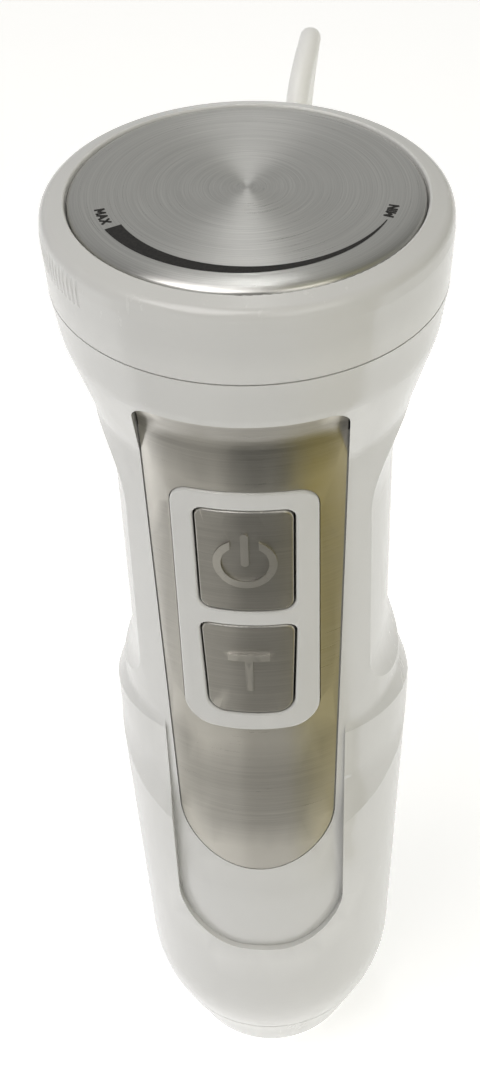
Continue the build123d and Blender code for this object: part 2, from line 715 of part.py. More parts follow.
# -------------------------------------------------------------- cord and its kit
with BuildPart() as strain_relief:
    add(rod(boot_start - boot_axis * (neck_length + 1.8), boot_start - boot_axis * neck_length, 5.0))
    add(rod(boot_start - boot_axis * neck_length, boot_start, 3.2))
    add(rod(boot_start, boot_tip, 4.3, 2.9))
    for notch in range(5):
        at = boot_start + boot_axis * (6.0 + 3.0 * notch)
        add(rod(at, at + boot_axis * 1.0, 6.0, hole=2.75), mode=Mode.SUBTRACT)
save(strain_relief.part, "strain_relief")

boot_inside = boot_start - boot_axis * (neck_length + 1.9)
wires = []
for column in (-4, 4):
    start = boot_inside + Vector(column / 4, 0, 0)
    with BuildPart() as wire:
        with BuildLine():
            route = FilletPolyline(start, start - boot_axis * 6, (column, board_back + 14, terminal_mid),
                                   (column, board_back + 5, terminal_mid), radius=[3, 3])
        with BuildSketch(Plane(route @ 0, z_dir=route % 0)):
            Circle(0.8)
        sweep()
    wires.append(wire.part)
group(wires, "lead_wires")

# the cord rises from the boot, folds over behind the head and drops to the table
cord_route = [
    boot_tip,
    Vector(4.3, 51.7, under(7.8)),
    Vector(5.3, 57.4, under(-3.4)),
    Vector(7.2, 69.2, under(-7.8)),
    Vector(6.6, 81.0, under(-2.2)),
    Vector(4.0, 86.2, under(19.0)),
    Vector(3.4, 87.0, under(60.0)),
    Vector(3.7, 84.2, under(107.0)),
    Vector(4.2, 82.6, 59.0),
    Vector(4.9, 85.0, 30.0),
    Vector(5.7, 96.0, 10.0),
    Vector(6.7, 112.8, 6.6),
]
corner_radii = []
for before, here, after in zip(cord_route, cord_route[1:], cord_route[2:]):
    turn = (here - before).get_angle(after - here)
    shorter = min((here - before).length, (after - here).length)
    corner_radii.append(0.45 * shorter / math.tan(math.radians(turn / 2)))
print("cord radii", [round(r, 1) for r in corner_radii])
with BuildPart() as cord:
    with BuildLine() as cord_line:
        FilletPolyline(*cord_route, radius=corner_radii)
    with BuildSketch(Plane(cord_line.line @ 0, z_dir=cord_line.line % 0)):
        Circle(cord_radius)
    sweep()
cord_length = cord_line.wires()[0].length
section = math.pi * cord_radius**2
print("cord length", round(cord_length, 1), "volume ratio", cord.part.volume / (section * cord_length))
save(cord.part, "cord")

# the rest of the cord lies behind the handle as a tied hank of two bundles
hank_start = cord_route[-1]
bundle = 2 * hank_columns * cord_radius
hank_width = 2 * (fold_radius - cord_radius + bundle) + 0.2
hank_depth = 2 * hank_layers * cord_radius + 0.4
hank_mid = hank_start.X - fold_radius + cord_radius - bundle / 2
hank_y0, hank_y1 = hank_start.Y, hank_start.Y + hank_length
tie_mid = (hank_y0 + hank_y1) / 2
tie_width = 9.0
tie_thick = 1.0
floor_gap = 0.1


def hank_section(grow, y, corner):
    """Cross section of the hank in the plane at y, lifted to rest on the floor."""
    with BuildSketch(Plane.XZ.offset(-y)) as section:
        with Locations((hank_mid, hank_depth / 2 + tie_thick + floor_gap)):
            RectangleRounded(hank_width + 2 * grow, hank_depth + 2 * grow, corner)
    return section.sketch


with BuildPart() as cord_hank:
    extrude(hank_section(0, hank_y0, 5.0), amount=-hank_length)
save(cord_hank.part, "cord_hank")
with BuildPart() as hank_tie:
    extrude(hank_section(tie_thick, tie_mid - tie_width / 2, 6.0), amount=-tie_width)
    extrude(hank_section(0.02, tie_mid - tie_width, 5.0), amount=-2 * tie_width, mode=Mode.SUBTRACT)
save(hank_tie.part, "hank_tie")
plug_deep = 13.6
tail_end = Vector(hank_start.X, hank_y1 + 12.0, plug_deep / 2 + floor_gap)
save(rod((tail_end.X, hank_y1, tail_end.Z), tail_end, cord_radius), "cord_tail")

plug_length, plug_neck = 34.0, 3.4
with BuildPart() as plug_body:
    with BuildSketch(Plane.XZ.offset(-tail_end.Y)):
        with Locations((tail_end.X, tail_end.Z)):
            Circle(plug_neck)
    with BuildSketch(Plane.XZ.offset(-(tail_end.Y + 9))):
        with Locations((tail_end.X, tail_end.Z)):
            RectangleRounded(12, 9.6, 4.0)
    with BuildSketch(Plane.XZ.offset(-(tail_end.Y + plug_length))):
        with Locations((tail_end.X, tail_end.Z)):
            RectangleRounded(35, plug_deep, 6.4)
    loft()
save(plug_body.part, "plug_body")
plug_face = tail_end.Y + plug_length
pin_feet = [(Vector(tail_end.X + side * 9.3, plug_face, tail_end.Z), side) for side in (-1, 1)]
group([rod(foot, foot + Vector(side * -0.3, 19.0, 0), 2.0) for foot, side in pin_feet], "plug_pins")
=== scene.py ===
import json
import math

import bmesh
import bpy
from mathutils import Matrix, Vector


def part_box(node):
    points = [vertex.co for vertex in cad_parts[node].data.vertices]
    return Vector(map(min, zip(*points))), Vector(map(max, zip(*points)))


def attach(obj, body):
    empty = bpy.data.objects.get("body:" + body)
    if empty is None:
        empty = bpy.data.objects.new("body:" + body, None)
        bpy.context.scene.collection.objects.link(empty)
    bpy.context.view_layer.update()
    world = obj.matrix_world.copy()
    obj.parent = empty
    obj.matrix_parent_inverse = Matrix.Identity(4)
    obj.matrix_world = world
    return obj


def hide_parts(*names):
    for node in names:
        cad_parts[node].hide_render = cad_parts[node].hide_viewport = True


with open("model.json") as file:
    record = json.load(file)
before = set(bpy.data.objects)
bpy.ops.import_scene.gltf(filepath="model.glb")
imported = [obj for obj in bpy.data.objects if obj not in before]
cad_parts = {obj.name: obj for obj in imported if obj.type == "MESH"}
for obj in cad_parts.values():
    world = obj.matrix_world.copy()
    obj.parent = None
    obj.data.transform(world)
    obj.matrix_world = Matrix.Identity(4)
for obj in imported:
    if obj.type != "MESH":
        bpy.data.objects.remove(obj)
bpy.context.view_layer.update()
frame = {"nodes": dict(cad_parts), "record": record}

MM = 0.001
nodes = frame["nodes"]

# ------------------------------------------------------------------ camera
# A 57 mm lens on a 36 mm tall frame, above and in front of the handle.
TURN = math.radians(2.21)         # camera azimuth about the handle
TILT = math.radians(41.77)        # camera looks down by this much
CAMERA_AT = Vector((21.35, -241.6, 360.4)) * MM


def make_camera():
    data = bpy.data.cameras.new("photo_camera")
    data.sensor_fit = "VERTICAL"
    data.sensor_height = 36.0
    data.lens = 57.14
    data.shift_x = -0.0761
    camera = bpy.data.objects.new("photo_camera", data)
    camera.location = CAMERA_AT
    camera.rotation_euler = (math.pi / 2 - TILT, 0, TURN)
    bpy.context.collection.objects.link(camera)
    bpy.context.scene.camera = camera


# ------------------------------------------------------------------ cord
CORD_RADIUS = 2.1 * MM
# The route that the part's design gives, in millimetres.
ROUTE = [
    (4.24, 46.48, 191.71), (4.3, 51.7, 196.7), (5.3, 57.4, 207.9), (7.2, 69.2, 212.3),
    (6.6, 81.0, 206.7), (4.0, 86.2, 185.5), (3.4, 87.0, 144.5), (3.7, 84.2, 97.5),
    (4.2, 82.6, 59.0), (4.9, 85.0, 30.0), (6.0, 96.0, 8.0), (8.4, 112.8, 3.5),
]
INNER, OUTER = 12.6 * MM, 17.1 * MM        # fold radii of the hank's two columns
LAYERS = [3.2 * MM, 7.6 * MM, 12.0 * MM]   # strand heights
TURNS = [(OUTER, 0), (INNER, 0), (INNER, 1), (OUTER, 1), (OUTER, 2)]
FOLD_STEPS = 6
WIDEN = 1 / math.cos(math.pi / FOLD_STEPS / 2)   # control points stand outside a fold
RUN_END = 1 * MM                           # a strand's last point stops this short of its fold
STRAND_BOW = 0.5 * MM                      # a strand's middle stands out by this


def fold(middle, y, side, left, right):
    """Control points of one half turn; left and right are (radius, height)."""
    deep = max(left[0], right[0])
    points = []
    for step in range(FOLD_STEPS):
        share = (step + 0.5) / FOLD_STEPS
        angle = math.pi * share
        start, end = (left, right) if side < 0 else (right, left)
        across = start[0] if share < 0.5 else end[0]
        height = start[1] + (end[1] - start[1]) * share
        x = across * math.cos(angle) * WIDEN
        if side < 0:
            x = -x
        points.append(Vector((middle + x, y + side * deep * math.sin(angle) * WIDEN, height)))
    return points


def hank_points():
    """The cord's turns between its two bundles, then its way to the plug."""
    low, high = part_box("cord_hank")
    middle = (low.x + high.x) / 2
    near, far = low.y + OUTER + CORD_RADIUS, high.y - OUTER - CORD_RADIUS
    points = []
    for (radius, layer), following in zip(TURNS, TURNS[1:]):
        height = LAYERS[layer]
        bow = STRAND_BOW * (1 if radius == OUTER else -1)
        points += [Vector((middle + radius, near + RUN_END, height)),
                   Vector((middle + radius + bow, (near + far) / 2, height)),
                   Vector((middle + radius, far - RUN_END, height))]
        points += fold(middle, far, 1, (radius, height), (radius, height))
        left_end = max(height, LAYERS[following[1]]) if radius == OUTER else height
        points += [Vector((middle - radius, far - RUN_END, height)),
                   Vector((middle - radius - bow, (near + far) / 2, (height + left_end) / 2)),
                   Vector((middle - radius, near + RUN_END, left_end))]
        points += fold(middle, near, -1, (radius, left_end), (following[0], LAYERS[following[1]]))
    top = LAYERS[TURNS[-1][1]]
    plug_low, plug_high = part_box("plug_body")
    plug = Vector(((plug_low.x + plug_high.x) / 2, plug_low.y, (plug_low.z + plug_high.z) / 2))
    points += [Vector((middle + OUTER, near + RUN_END, top)), Vector((middle + OUTER, (near + far) / 2, top)),
               Vector((middle + OUTER, high.y - 12 * MM, top)),
               Vector((plug.x + 1.0 * MM, high.y + 3 * MM, (top + plug.z) / 2)),
               plug + Vector((0, -7 * MM, 0)), plug + Vector((0, 4 * MM, 0))]
    return points


def make_cord():
    points = [Vector(p) * MM for p in ROUTE] + hank_points()
    curve = bpy.data.curves.new("mains_cord", "CURVE")
    curve.dimensions = "3D"
    curve.bevel_depth = 1.0               # each point's radius is the cord's
    curve.bevel_resolution = 5
    curve.resolution_u = 8
    curve.use_fill_caps = True
    spline = curve.splines.new("NURBS")
    spline.points.add(len(points) - 1)
    for slot, point in zip(spline.points, points):
        slot.co = (*point, 1.0)
        slot.radius = CORD_RADIUS
    spline.order_u = 3
    spline.use_endpoint_u = True
    cord = bpy.data.objects.new("mains_cord", curve)
    bpy.context.collection.objects.link(cord)
    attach(cord, "housing")
    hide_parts("cord", "cord_hank", "cord_tail")
    return cord


# ------------------------------------------------------------------ node helpers
EDGE_START, EDGE_FULL = 0.505, 0.56   # pointiness between which an edge turns lighter, partly rubbed wear and partly a painted highlight


class Recipe:
    """Short names for the shader nodes of one material."""

    def __init__(self, name):
        self.material = bpy.data.materials.new(name)
        self.material.use_nodes = True
        self.tree = self.material.node_tree
        self.shader = self.tree.nodes["Principled BSDF"]
        self.place = self.node("ShaderNodeTexCoord").outputs["Object"]

    def node(self, kind, settings=None, **inputs):
        made = self.tree.nodes.new(kind)
        for key, value in (settings or {}).items():
            setattr(made, key, value)
        for key, value in inputs.items():
            self.feed(made.inputs[key.replace("_", " ")], value)
        return made

    def feed(self, socket, value):
        if isinstance(value, bpy.types.NodeSocket):
            self.tree.links.new(value, socket)
        else:
            socket.default_value = value

    def noise(self, scale, detail=3.0, roughness=0.5, stretch=(1, 1, 1), at=None):
        """Noise on the object's own place, scale in features per metre."""
        mapped = self.node("ShaderNodeMapping", Scale=stretch, Vector=at or self.place)
        made = self.node("ShaderNodeTexNoise", Vector=mapped.outputs[0], Scale=scale, Detail=detail,
                         Roughness=roughness)
        return made.outputs["Fac"]

    def span(self, value, low, high, start=0.3, end=0.7):
        """Value from start..end mapped onto low..high."""
        made = self.node("ShaderNodeMapRange", Value=value)
        for name, number in zip(("From Min", "From Max", "To Min", "To Max"), (start, end, low, high)):
            made.inputs[name].default_value = number
        return made.outputs[0]

    def math(self, kind, first, second=0.0):
        made = self.node("ShaderNodeMath", {"operation": kind})
        self.feed(made.inputs[0], first)
        self.feed(made.inputs[1], second)
        return made.outputs[0]

    def blend(self, amount, first, second):
        """Colour from first to second."""
        made = self.node("ShaderNodeMix", {"data_type": "RGBA"})
        self.feed(made.inputs["Factor"], amount)
        self.feed(made.inputs["A"], first)
        self.feed(made.inputs["B"], second)
        return made.outputs["Result"]

    def bump(self, *layers):
        """Stack of (height, depth in metres) pairs that sets the shader's normal."""
        normal = None
        for height, depth in layers:
            made = self.node("ShaderNodeBump", Height=height, Distance=depth, Strength=1.0)
            if normal is not None:
                self.tree.links.new(normal, made.inputs["Normal"])
            normal = made.outputs["Normal"]
        self.feed(self.shader.inputs["Normal"], normal)

    def worn(self):
        """1 on sharp outer edges, 0 elsewhere: where edges are painted lighter, partly wear and partly a
        painted highlight.
        """
        pointed = self.node("ShaderNodeNewGeometry").outputs["Pointiness"]
        return self.span(pointed, 0.0, 1.0, EDGE_START, EDGE_FULL)

    def set(self, **inputs):
        for key, value in inputs.items():
            self.feed(self.shader.inputs[key.replace("_", " ")], value)


def rgba(colour, gain=1.0):
    """Opaque colour, each channel times gain and at most 1."""
    return tuple(min(1.0, c * gain) for c in colour) + (1.0,)


# ------------------------------------------------------------------ materials
def gloss_plastic(name, colour):
    """Injection moulded gloss: faint orange peel, cloudy sheen, fine handling marks."""
    r = Recipe(name)
    cloud = r.noise(22, 3)
    peel = r.noise(900, 2)
    marks = r.noise(260, 6, 0.75, stretch=(1, 1, 0.25))
    tone = r.blend(r.span(cloud, 0.0, 1.0), rgba(colour, 0.78), rgba(colour, 0.82))
    # sharp edges painted lighter: partly rubbed wear, partly a painted highlight
    edge = r.blend(r.worn(), tone, rgba(colour, 0.86))
    rough = r.math("ADD", r.span(cloud, 0.17, 0.24), r.span(marks, 0.0, 0.08, 0.5, 0.75))
    r.set(Base_Color=edge, Roughness=rough, Coat_Weight=0.25, Coat_Roughness=0.12)
    r.bump((peel, 0.000012), (cloud, 0.00006))
    return r.material


def matte_plastic(name, colour):
    """Spark eroded texture; its edges painted lighter, partly rubbed wear and partly a painted highlight."""
    r = Recipe(name)
    grain = r.noise(3200, 4, 0.6)
    cloud = r.noise(60, 3)
    tone = r.blend(r.span(cloud, 0.0, 1.0), rgba(colour, 0.88), rgba(colour, 1.1))
    # edges painted lighter: partly rubbed wear, partly a painted highlight
    edge = r.blend(r.worn(), tone, rgba([c + 0.06 for c in colour]))
    r.set(Base_Color=edge, Roughness=r.span(grain, 0.5, 0.68))
    r.bump((grain, 0.00004))
    return r.material


def rubber(name, colour):
    """Soft vinyl or rubber with mould bloom."""
    r = Recipe(name)
    bloom = r.noise(140, 5, 0.65)
    skin = r.noise(2400, 3)
    tone = r.blend(r.span(bloom, 0.0, 1.0), rgba(colour, 0.94), rgba([c + 0.02 for c in colour]))
    r.set(Base_Color=tone, Roughness=r.span(bloom, 0.42, 0.6))
    r.bump((skin, 0.00003))
    return r.material


def vinyl_cord(name, colour):
    """Extruded jacket: faint bumpy skin, chalky handling marks."""
    r = Recipe(name)
    cloud = r.noise(90, 4, 0.6)
    skin = r.noise(1800, 3, 0.6)
    tone = r.blend(r.span(cloud, 0.0, 1.0), rgba(colour, 1.1), rgba(colour, 1.18))
    r.set(Base_Color=tone, Roughness=r.span(cloud, 0.3, 0.46), Coat_Weight=0.1)
    r.bump((skin, 0.00003), (cloud, 0.0001))
    return r.material


def brushed_steel(name, colour, roughness=0.3):
    """Straight grain round the handle; highlights spread along the handle."""
    r = Recipe(name)
    fine = r.noise(1, 5, 0.7, stretch=(60, 60, 3600))
    broad = r.noise(1, 3, 0.6, stretch=(14, 14, 800))
    streak = r.math("MULTIPLY_ADD", fine, 0.6)
    streak.node.inputs[2].default_value = 0.2
    smudge = r.noise(45, 4, 0.6)
    tone = r.blend(r.span(streak, 0.0, 1.0, 0.35, 0.65), rgba(colour, 0.82), rgba(colour, 1.12))
    tone = r.blend(r.span(broad, 0.0, 0.4), tone, rgba(colour, 0.78))
    # painted edge highlight: sharp edges of the steel lighter, partly also rubbed wear
    tone = r.blend(r.worn(), tone, rgba(colour, 1.35))
    rough = r.math("ADD", r.span(fine, roughness - 0.05, roughness + 0.07), r.span(smudge, 0.0, 0.05))
    r.set(Base_Color=tone, Metallic=1.0, Roughness=rough, Anisotropic=0.72)
    r.set(Tangent=r.node("ShaderNodeCombineXYZ", Z=1.0).outputs[0])
    r.bump((fine, 0.000022), (broad, 0.000012))
    return r.material


def spun_steel(name, colour):
    """Circular grain about the handle axis; highlights spread outwards from the centre."""
    r = Recipe(name)
    flat = r.node("ShaderNodeVectorMath", {"operation": "MULTIPLY"})
    r.feed(flat.inputs[0], r.place)
    flat.inputs[1].default_value = (1, 1, 0)
    length = r.node("ShaderNodeVectorMath", {"operation": "LENGTH"})
    r.feed(length.inputs[0], flat.outputs[0])
    radius = length.outputs["Value"]
    unit = r.node("ShaderNodeVectorMath", {"operation": "NORMALIZE"})
    r.feed(unit.inputs[0], flat.outputs[0])
    # rings: noise on the radius that drifts slowly with the direction
    drift = r.node("ShaderNodeVectorMath", {"operation": "SCALE"}, Scale=0.8)
    r.feed(drift.inputs[0], unit.outputs[0])
    lift = r.node("ShaderNodeCombineXYZ", Z=r.math("MULTIPLY", radius, 5200.0))
    ring_place = r.node("ShaderNodeVectorMath", {"operation": "ADD"})
    r.feed(ring_place.inputs[0], drift.outputs[0])
    r.feed(ring_place.inputs[1], lift.outputs[0])
    fine = r.noise(1, 4, 0.7, at=ring_place.outputs[0])
    broad = r.noise(1, 2, 0.5, stretch=(1, 1, 0.12), at=ring_place.outputs[0])
    smudge = r.noise(50, 4, 0.6)
    tone = r.blend(r.span(fine, 0.0, 1.0, 0.35, 0.65), rgba(colour, 0.86), rgba(colour, 1.1))
    tone = r.blend(r.span(broad, 0.0, 0.35), tone, rgba(colour, 0.9))
    rough = r.math("ADD", r.span(fine, 0.25, 0.33), r.span(smudge, 0.0, 0.05))
    r.set(Base_Color=tone, Metallic=1.0, Roughness=rough, Anisotropic=0.78)
    outward = r.node("ShaderNodeVectorTransform",
                     {"vector_type": "VECTOR", "convert_from": "OBJECT", "convert_to": "WORLD"})
    r.feed(outward.inputs[0], unit.outputs[0])
    r.set(Tangent=outward.outputs[0])
    r.bump((fine, 0.00002), (broad, 0.00001))
    return r.material


def machined_metal(name, colour, roughness=0.25, grain=2500):
    """Turned or ground metal with fine tool marks and dull patches."""
    r = Recipe(name)
    lines = r.noise(1, 4, 0.6, stretch=(grain * 0.1, grain * 0.1, grain))
    patch = r.noise(160, 5, 0.65)
    tone = r.blend(r.span(patch, 0.0, 1.0), rgba(colour, 0.85), rgba(colour, 1.08))
    # painted edge highlight: sharp edges lighter, partly also rubbed wear
    tone = r.blend(r.worn(), tone, rgba(colour, 1.3))
    rough = r.math("ADD", r.span(patch, roughness - 0.06, roughness + 0.12), r.span(lines, 0.0, 0.06))
    r.set(Base_Color=tone, Metallic=1.0, Roughness=rough)
    r.bump((lines, 0.00002))
    return r.material


def cast_alloy(name, colour):
    """Die cast zinc or aluminium with a pebbled skin."""
    r = Recipe(name)
    pebble = r.noise(1500, 4, 0.6)
    stain = r.noise(90, 5, 0.6)
    tone = r.blend(r.span(stain, 0.0, 1.0), rgba(colour, 0.8), rgba(colour, 1.05))
    r.set(Base_Color=tone, Metallic=1.0, Roughness=r.span(stain, 0.38, 0.55))
    r.bump((pebble, 0.00006))
    return r.material


def laminations(name, colour):
    """Stack of half millimetre sheets with dark varnish between them."""
    r = Recipe(name)
    wave = r.node("ShaderNodeTexWave", {"bands_direction": "Z"}, Vector=r.place, Scale=628, Distortion=0.2)
    gap = r.span(wave.outputs["Fac"], 0.0, 1.0, 0.05, 0.35)
    patch = r.noise(200, 4)
    sheet = r.blend(r.span(patch, 0.0, 1.0), rgba(colour, 0.8), rgba(colour, 1.3))
    r.set(Base_Color=r.blend(gap, rgba((0.05, 0.035, 0.03)), sheet), Metallic=0.85,
          Roughness=r.span(patch, 0.4, 0.6))
    r.bump((gap, 0.0001))
    return r.material


def wound_copper(name, colour):
    """Enamelled wire laid side by side."""
    r = Recipe(name)
    wave = r.node("ShaderNodeTexWave", {"bands_direction": "DIAGONAL"}, Vector=r.place, Scale=420,
                  Distortion=1.2, Detail=2.0)
    patch = r.noise(240, 4)
    # dark bands in the grooves between turns are painted shade, the light tops a painted highlight
    wire = r.blend(wave.outputs["Fac"], rgba(colour, 0.35), rgba(colour, 1.15))
    r.set(Base_Color=r.blend(r.span(patch, 0.0, 0.4), wire, rgba(colour, 0.7)), Metallic=0.8,
          Roughness=r.span(patch, 0.25, 0.4), Coat_Weight=0.6, Coat_Roughness=0.15)
    r.bump((wave.outputs["Fac"], 0.00025))
    return r.material


def circuit_board(name, colour):
    """Solder mask over broad tracks, with tinned dots."""
    r = Recipe(name)
    tracks = r.node("ShaderNodeTexBrick", Vector=r.node("ShaderNodeMapping", Rotation=(math.pi / 2, 0, 0),
                                                        Vector=r.place).outputs[0],
                    Scale=110.0, Color1=rgba((1, 1, 1)), Color2=rgba((0.8, 0.8, 0.8)), Mortar=rgba((0, 0, 0)))
    dots = r.node("ShaderNodeTexVoronoi", Vector=r.place, Scale=330.0)
    tin = r.span(dots.outputs["Distance"], 1.0, 0.0, 0.12, 0.16)
    mask = r.blend(tracks.outputs["Color"], rgba(colour, 0.55), rgba(colour, 1.25))
    r.set(Base_Color=r.blend(tin, mask, rgba((0.7, 0.7, 0.68))), Metallic=tin,
          Roughness=r.span(r.noise(500, 3), 0.22, 0.36))
    r.bump((tracks.outputs["Fac"], 0.00004), (tin, 0.0001))
    return r.material


def felt(name, colour):
    """Pressed fibre ring."""
    r = Recipe(name)
    fibre = r.noise(1, 6, 0.8, stretch=(2600, 900, 2600))
    r.set(Base_Color=r.blend(r.span(fibre, 0.0, 1.0), rgba(colour, 0.6), rgba(colour, 1.4)), Roughness=0.95,
          Sheen_Weight=0.4)
    r.bump((fibre, 0.0003))
    return r.material


def woven_strap(name, colour):
    """Tight narrow webbing."""
    r = Recipe(name)
    warp = r.node("ShaderNodeTexWave", {"bands_direction": "X"}, Vector=r.place, Scale=420, Distortion=0.6)
    weft = r.node("ShaderNodeTexWave", {"bands_direction": "Y"}, Vector=r.place, Scale=420, Distortion=0.6)
    weave = r.math("MULTIPLY", warp.outputs["Fac"], weft.outputs["Fac"])
    fuzz = r.noise(2600, 4, 0.7)
    # darker where the threads dip: painted shade in the weave's hollows
    r.set(Base_Color=r.blend(weave, rgba(colour, 0.5), rgba([c + 0.08 for c in colour])),
          Roughness=r.span(fuzz, 0.75, 0.95), Sheen_Weight=0.25)
    r.bump((weave, 0.0002), (fuzz, 0.00005))
    return r.material


def printed_ink(name):
    """Screen printed black with a slightly uneven edge of ink."""
    r = Recipe(name)
    grain = r.noise(2600, 4, 0.6)
    tone = r.blend(r.span(grain, 0.0, 1.0), rgba((0.012, 0.012, 0.012)), rgba((0.04, 0.038, 0.036)))
    r.set(Base_Color=tone, Roughness=r.span(grain, 0.6, 0.75), Specular_IOR_Level=0.25)
    r.bump((grain, 0.00001))
    return r.material


SPECIAL = {
    "brushed_steel": lambda n, c: brushed_steel(n, (0.60, 0.585, 0.55)),
    "button_steel": lambda n, c: brushed_steel(n, (0.56, 0.545, 0.51), 0.33),
    "spun_steel": lambda n, c: spun_steel(n, (0.66, 0.655, 0.63)),
    "friction_felt": felt,
    "circuit_board": circuit_board,
    "bracket_alloy": cast_alloy,
    "core_laminations": laminations,
    "enamelled_copper": wound_copper,
    "commutator_copper": lambda n, c: machined_metal(n, c, 0.22, 4000),
    "cord_jacket": vinyl_cord,
    "relief_rubber": vinyl_cord,
    "tie_plastic": woven_strap,
}
BY_CLASS = {"gloss_plastic": gloss_plastic, "rubber": rubber, "chrome": machined_metal,
            "aluminium": lambda n, c: machined_metal(n, c, 0.34, 1600)}


def make_materials():
    """One procedural material for each of the record's slots."""
    made = {}
    for entry in frame["record"]["materials"]:
        slot = entry["slot"]
        recipe = SPECIAL.get(slot) or BY_CLASS.get(entry["class"], matte_plastic)
        made[slot] = recipe(slot, entry["base_color"])
    return made


def paint(piece, material):
    """Give a piece one material and no other."""
    piece.data.materials.clear()
    piece.data.materials.append(material)


# ------------------------------------------------------------------ mesh helpers
def add_mesh(name, verts, faces, body, slot, material, smooth=True):
    """Mesh piece on a body, with its material; the slot argument is not used."""
    mesh = bpy.data.meshes.new(name)
    mesh.from_pydata([tuple(v) for v in verts], [], faces)
    made = bmesh.new()
    made.from_mesh(mesh)
    bmesh.ops.recalc_face_normals(made, faces=made.faces)
    made.to_mesh(mesh)
    made.free()
    piece = bpy.data.objects.new(name, mesh)
    bpy.context.collection.objects.link(piece)
    if smooth:
        mesh.shade_smooth()
    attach(piece, body)
    paint(piece, material)
    return piece


def skin_rings(rings, closed_ends=True):
    """Vertices and faces through rings of the same number of points."""
    count = len(rings[0])
    verts = [p for ring in rings for p in ring]
    last = (len(rings) - 1) * count
    faces = []
    for start in range(0, last, count):
        for k in range(count):
            after = (k + 1) % count
            faces.append((start + k, start + after, start + count + after, start + count + k))
    if closed_ends:
        faces += [tuple(reversed(range(count))), tuple(range(last, last + count))]
    return verts, faces


# ------------------------------------------------------------------ dial disc and its scale
FLAT_RADIUS = 25.6 * MM       # where the face starts to roll over
SCALE_LIFT = 0.04 * MM        # print stands this far off the face
DISC_CENTRE = 0.4 * MM        # smallest ring of the face
DISC_RINGS = 12               # rings on the flat and again on the roll
DISC_SIDES = 160
disc_low, disc_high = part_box("dial_disc")
DISC_RADIUS = disc_high.x
DISC_TOP = disc_high.z


def disc_height(radius):
    """Height of the spun disc's face."""
    sag = 0.35 * MM * (radius / DISC_RADIUS) ** 2
    if radius <= FLAT_RADIUS:
        return DISC_TOP - sag
    roll = (radius - FLAT_RADIUS) / (DISC_RADIUS - FLAT_RADIUS)
    return DISC_TOP - sag - 1.25 * MM * (1 - math.sqrt(max(0.0, 1 - (roll * 0.985) ** 2)))


def level_ring(radius, height):
    """Level ring of points about the handle axis."""
    return [Vector((radius * math.cos(a), radius * math.sin(a), height))
            for a in (2 * math.pi * k / DISC_SIDES for k in range(DISC_SIDES))]


def make_disc(material):
    """Spun face with a rolled rim and a turned-in skirt."""
    profile = [DISC_CENTRE] + [FLAT_RADIUS * (i + 1) / DISC_RINGS for i in range(DISC_RINGS)]
    profile += [FLAT_RADIUS + (DISC_RADIUS - FLAT_RADIUS) * (i + 1) / DISC_RINGS for i in range(DISC_RINGS)]
    rings = [level_ring(radius, disc_height(radius)) for radius in profile]
    rings += [level_ring(DISC_RADIUS, disc_low.z + 0.1 * MM), level_ring(DISC_RADIUS - 0.6 * MM, disc_low.z)]
    disc = add_mesh("spun_disc", *skin_rings(rings), "speed_dial", "spun_steel", material)
    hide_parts("dial_disc")


def on_disc(radius, degrees):
    """Point on the face; 0 degrees is the front and angles grow to the right."""
    angle = math.radians(degrees)
    return Vector((radius * math.sin(angle), -radius * math.cos(angle), disc_height(radius) + SCALE_LIFT))


def make_scale(material):
    """Speed crescent, thick at the fast end."""
    start, end, steps = -58.0, 69.0, 90
    rows = []
    for k in range(steps + 1):
        share = k / steps
        outer = (25.2 - 0.8 * share) * MM
        inner = outer - (2.75 * (1 - share) ** 0.85 + 0.12) * MM
        degrees = start + (end - start) * share
        rows.append([on_disc(inner + (outer - inner) * j / 4, degrees) for j in range(5)])
    verts = [p for row in rows for p in row]
    faces = [(i * 5 + j, i * 5 + j + 1, (i + 1) * 5 + j + 1, (i + 1) * 5 + j)
             for i in range(steps) for j in range(4)]
    add_mesh("speed_scale", verts, faces, "speed_dial", "dark_plastic", material)


# strokes of each letter in a box 1 high
LETTERS = {
    "M": (0.85, [(0, 0, 0, 1), (0, 1, 0.42, 0.3), (0.42, 0.3, 0.85, 1), (0.85, 1, 0.85, 0)]),
    "A": (0.8, [(0, 0, 0.4, 1), (0.4, 1, 0.8, 0), (0.16, 0.34, 0.64, 0.34)]),
    "X": (0.75, [(0, 0, 0.75, 1), (0, 1, 0.75, 0)]),
    "I": (0.12, [(0.06, 0, 0.06, 1)]),
    "N": (0.75, [(0, 0, 0, 1), (0, 1, 0.75, 0), (0.75, 0, 0.75, 1)]),
}
LETTER_HEIGHT = 1.45 * MM
LETTER_GAP = 0.32             # in letter heights
STROKE_HALF = 0.13            # half the width of a stroke, in letter heights
LEGEND_FOOT = 24.9 * MM       # radius of the line that the letters stand on


def make_legend(name, word, middle_degrees, foot_radius, material):
    """Small word round the face, its foot outwards."""
    total = sum(LETTERS[c][0] for c in word) + LETTER_GAP * (len(word) - 1)
    verts, faces = [], []
    along = -total / 2
    for letter in word:
        width, strokes = LETTERS[letter]
        for x0, y0, x1, y1 in strokes:
            reach = Vector((x1 - x0, y1 - y0))
            side = Vector((-reach.y, reach.x)).normalized() * STROKE_HALF
            tip = reach.normalized() * STROKE_HALF * 0.6
            for corner in (Vector((x0, y0)) - tip - side, Vector((x1, y1)) + tip - side,
                           Vector((x1, y1)) + tip + side, Vector((x0, y0)) - tip + side):
                radius = foot_radius - corner.y * LETTER_HEIGHT
                turn = (along + corner.x) * LETTER_HEIGHT / foot_radius
                verts.append(on_disc(radius, middle_degrees + math.degrees(turn)))
            faces.append(tuple(range(len(verts) - 4, len(verts))))
        along += width + LETTER_GAP
    add_mesh(name, verts, faces, "speed_dial", "dark_plastic", material, smooth=False)


